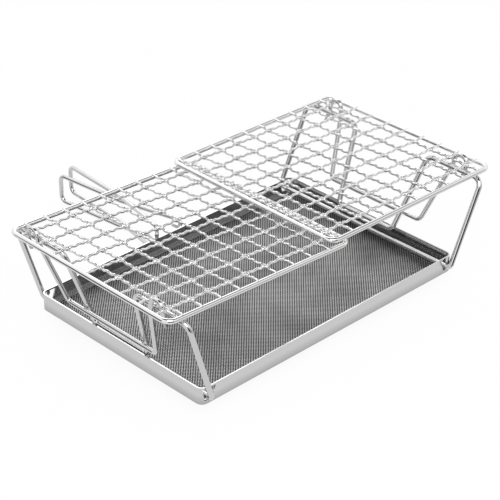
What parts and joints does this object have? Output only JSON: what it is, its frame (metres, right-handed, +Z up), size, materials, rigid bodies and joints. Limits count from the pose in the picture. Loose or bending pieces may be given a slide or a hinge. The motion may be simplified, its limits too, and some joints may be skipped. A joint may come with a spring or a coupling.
{
  "type": "folding campfire grill",
  "caption": "Folding wire grill: a shallow mesh-floored tray, hinged wire leg frames holding two overlapping crimped nets, and a folding wire handle.",
  "frame": {"origin": "centre of the underside of the tray's woven floor", "axes": "+X to the right along the tray's long side, +Y to the rear, where the handle is, +Z up; the net that lies on top is the right one"},
  "size_m": [0.2689, 0.2514, 0.0767],
  "materials": {
    "sheet_steel": "satin stainless sheet",
    "woven_floor": "fine woven stainless wire cloth",
    "leg_wire": "bright drawn stainless wire",
    "handle_wire": "bright drawn stainless wire",
    "net_wire": "bright crimped stainless wire"
  },
  "bodies": {
    "tray": {"tray_frame": "sheet_steel", "mesh_floor": "woven_floor", "left_handle_eye": "sheet_steel", "right_handle_eye": "sheet_steel"},
    "left_leg": {"left_leg_frame": "leg_wire", "left_hook_wire": "leg_wire"},
    "right_leg": {"right_leg_frame": "leg_wire", "right_hook_wire": "leg_wire"},
    "left_net": {"left_net_frame": "net_wire", "left_net_row_1": "net_wire", "left_net_row_2": "net_wire", "left_net_row_3": "net_wire", "left_net_row_4": "net_wire", "left_net_row_5": "net_wire", "left_net_row_6": "net_wire", "left_net_row_7": "net_wire", "left_net_row_8": "net_wire", "left_net_row_9": "net_wire", "left_net_column_1": "net_wire", "left_net_column_2": "net_wire", "left_net_column_3": "net_wire", "left_net_column_4": "net_wire", "left_net_column_5": "net_wire", "left_net_column_6": "net_wire", "left_net_column_7": "net_wire", "left_net_column_8": "net_wire", "left_net_column_9": "net_wire", "left_net_column_10": "net_wire"},
    "right_net": {"right_net_frame": "net_wire", "right_net_row_1": "net_wire", "right_net_row_2": "net_wire", "right_net_row_3": "net_wire", "right_net_row_4": "net_wire", "right_net_row_5": "net_wire", "right_net_row_6": "net_wire", "right_net_row_7": "net_wire", "right_net_row_8": "net_wire", "right_net_row_9": "net_wire", "right_net_column_1": "net_wire", "right_net_column_2": "net_wire", "right_net_column_3": "net_wire", "right_net_column_4": "net_wire", "right_net_column_5": "net_wire", "right_net_column_6": "net_wire", "right_net_column_7": "net_wire", "right_net_column_8": "net_wire", "right_net_column_9": "net_wire", "right_net_column_10": "net_wire"},
    "left_handle": {"left_handle": "handle_wire"},
    "right_handle": {"right_handle": "handle_wire"}
  },
  "joints": [
    {"name": "left_leg_fold", "type": "hinge", "parent": "tray", "child": "left_leg", "pos_m": [-0.10142, 0, 0.0048], "axis": [0, 1, 0], "range_deg": [0, 28]},
    {"name": "right_leg_fold", "type": "hinge", "parent": "tray", "child": "right_leg", "pos_m": [0.10025, 0, 0.0048], "axis": [0, -1, 0], "range_deg": [0, 28]},
    {"name": "left_net_hinge", "type": "hinge", "parent": "left_leg", "child": "left_net", "pos_m": [-0.11949, 0, 0.06526], "axis": [0, -1, 0], "range_deg": [0, 28]},
    {"name": "right_net_hinge", "type": "hinge", "parent": "right_leg", "child": "right_net", "pos_m": [0.12706, 0, 0.06193], "axis": [0, 1, 0], "range_deg": [0, 27.45]},
    {"name": "left_handle_swing", "type": "hinge", "parent": "tray", "child": "left_handle", "pos_m": [-0.01, 0.0742, 0.005], "axis": [0, 0, -1], "range_deg": [0, 65]},
    {"name": "right_handle_swing", "type": "hinge", "parent": "tray", "child": "right_handle", "pos_m": [0.01, 0.0742, 0.005], "axis": [0, 0, 1], "range_deg": [0, 65]}
  ],
  "couplings": [
    {"joint": "right_leg_fold", "follows": "left_leg_fold", "ratio": 1},
    {"joint": "left_net_hinge", "follows": "left_leg_fold", "ratio": 1},
    {"joint": "right_net_hinge", "follows": "left_leg_fold", "ratio": 0.98}
  ]
}
